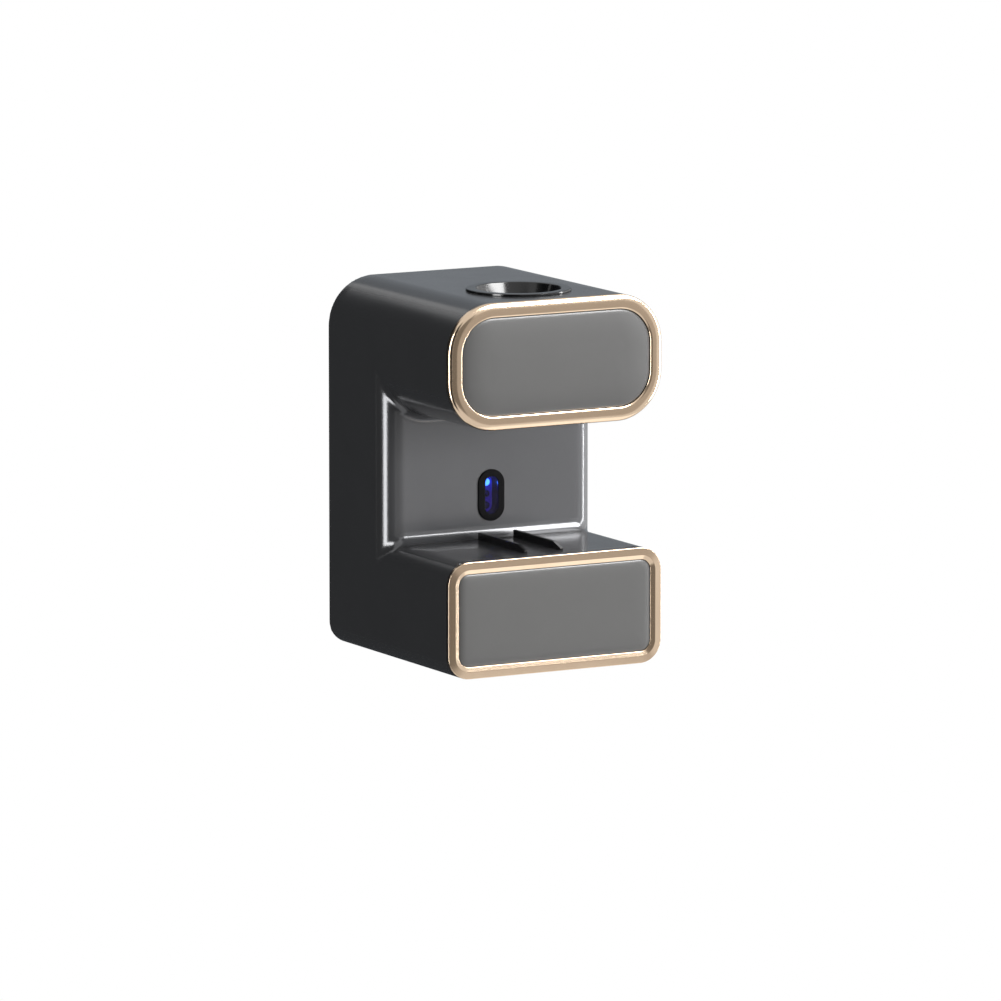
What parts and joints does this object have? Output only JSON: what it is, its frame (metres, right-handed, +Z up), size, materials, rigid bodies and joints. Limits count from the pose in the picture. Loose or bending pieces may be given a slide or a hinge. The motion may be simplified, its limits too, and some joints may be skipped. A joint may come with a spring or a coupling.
{
  "type": "wall-mounted toothpaste dispenser",
  "caption": "C-shaped wall dispenser: an upper arm with a tube socket and squeeze pump, an open recess with a hand sensor, and a lower block that holds brushes behind a flip-up door.",
  "frame": {"origin": "centre of the adhesive pad's back face, on the wall", "axes": "+X to the right seen from the front, +Y into the wall, +Z up"},
  "size_m": [0.096, 0.1038, 0.1501],
  "materials": {
    "shell_plastic": "satin dark grey, faint metallic pigment",
    "inner_plastic": "moulded grey",
    "black_plastic": "gloss black",
    "panel_plastic": "satin mid grey",
    "trim_metal": "satin champagne gold",
    "steel": "bright",
    "brass": "machined",
    "acetal": "natural white",
    "silicone": "translucent white silicone",
    "foam": "foam tape",
    "window_tint": "dark blue-violet",
    "clear_window": "clear",
    "board": "green solder mask",
    "blue_lamp": "clear blue lens",
    "dark_lamp": "dark lens",
    "violet_lamp": "pale violet lens",
    "cell_wrap": "shrink sleeve",
    "cable": "insulated wire"
  },
  "bodies": {
    "wall_mount": {"wall_plate": "inner_plastic", "adhesive_pad": "foam"},
    "housing": {"main_shell": "shell_plastic", "rear_cover": "shell_plastic", "cover_screws": "steel", "sensor_bezel": "black_plastic", "sensor_window": "window_tint", "sensor_board": "board", "status_led": "blue_lamp", "ir_emitter": "dark_lamp", "ir_receiver": "dark_lamp", "sensor_screws": "steel", "tube_collar": "black_plastic", "tube_seal": "silicone", "pump_frame": "inner_plastic", "pump_screws": "steel", "pump_sleeve": "silicone", "outlet_valve": "silicone", "nozzle_ring": "black_plastic", "gear_motor": "steel", "motor_screws": "steel", "gear_axle": "steel", "battery_cell": "cell_wrap", "battery_cradle": "inner_plastic", "battery_contacts": "steel", "main_board": "board", "board_screws": "steel", "usb_socket": "steel", "button_switch": "black_plastic", "uv_board": "board", "uv_leds": "violet_lamp", "uv_window": "clear_window", "sensor_ribbon": "acetal", "uv_ribbon": "acetal", "motor_leads": "cable", "battery_leads": "cable", "brush_guides": "black_plastic", "brush_rack": "black_plastic", "hinge_pins": "steel", "shell_magnets": "steel"},
    "arm_cover": {"cover_frame": "shell_plastic", "upper_trim_ring": "trim_metal", "upper_panel": "panel_plastic"},
    "door": {"door_frame": "shell_plastic", "lower_trim_ring": "trim_metal", "lower_panel": "panel_plastic", "door_magnets": "steel"},
    "gear": {"reduction_gear": "acetal"},
    "motor_rotor": {"motor_shaft": "steel", "drive_pinion": "brass"},
    "pusher": {"pusher": "acetal"},
    "button": {"power_button": "trim_metal"}
  },
  "joints": [
    {"name": "housing_lift", "type": "slide", "parent": "wall_mount", "child": "housing", "axis": [0, 0, 1], "range_m": [0, 0.01]},
    {"name": "arm_cover_pull", "type": "slide", "parent": "housing", "child": "arm_cover", "axis": [0, -1, 0], "range_m": [0, 0.012]},
    {"name": "door_hinge", "type": "hinge", "parent": "housing", "child": "door", "pos_m": [0, -0.0996, -0.02905], "axis": [-1, 0, 0], "range_deg": [0, 95]},
    {"name": "gear_turn", "type": "hinge", "parent": "housing", "child": "gear", "pos_m": [0, -0.044, 0.0484], "axis": [-1, 0, 0], "range_deg": [0, 95.6]},
    {"name": "motor_turn", "type": "hinge", "parent": "housing", "child": "motor_rotor", "pos_m": [0, -0.03101, 0.0559], "axis": [-1, 0, 0], "range_deg": [-390, 0]},
    {"name": "pusher_slide", "type": "slide", "parent": "housing", "child": "pusher", "axis": [0, -1, 0], "range_m": [0, 0.008], "deforming": ["pump_sleeve"]},
    {"name": "button_press", "type": "slide", "parent": "housing", "child": "button", "axis": [0, 0, 1], "range_m": [0, 0.0008], "stiffness_N_per_m": 600}
  ],
  "couplings": [
    {"joint": "gear_turn", "follows": "pusher_slide", "rad_per_m": 208.33},
    {"joint": "motor_turn", "follows": "pusher_slide", "rad_per_m": -833.33}
  ]
}
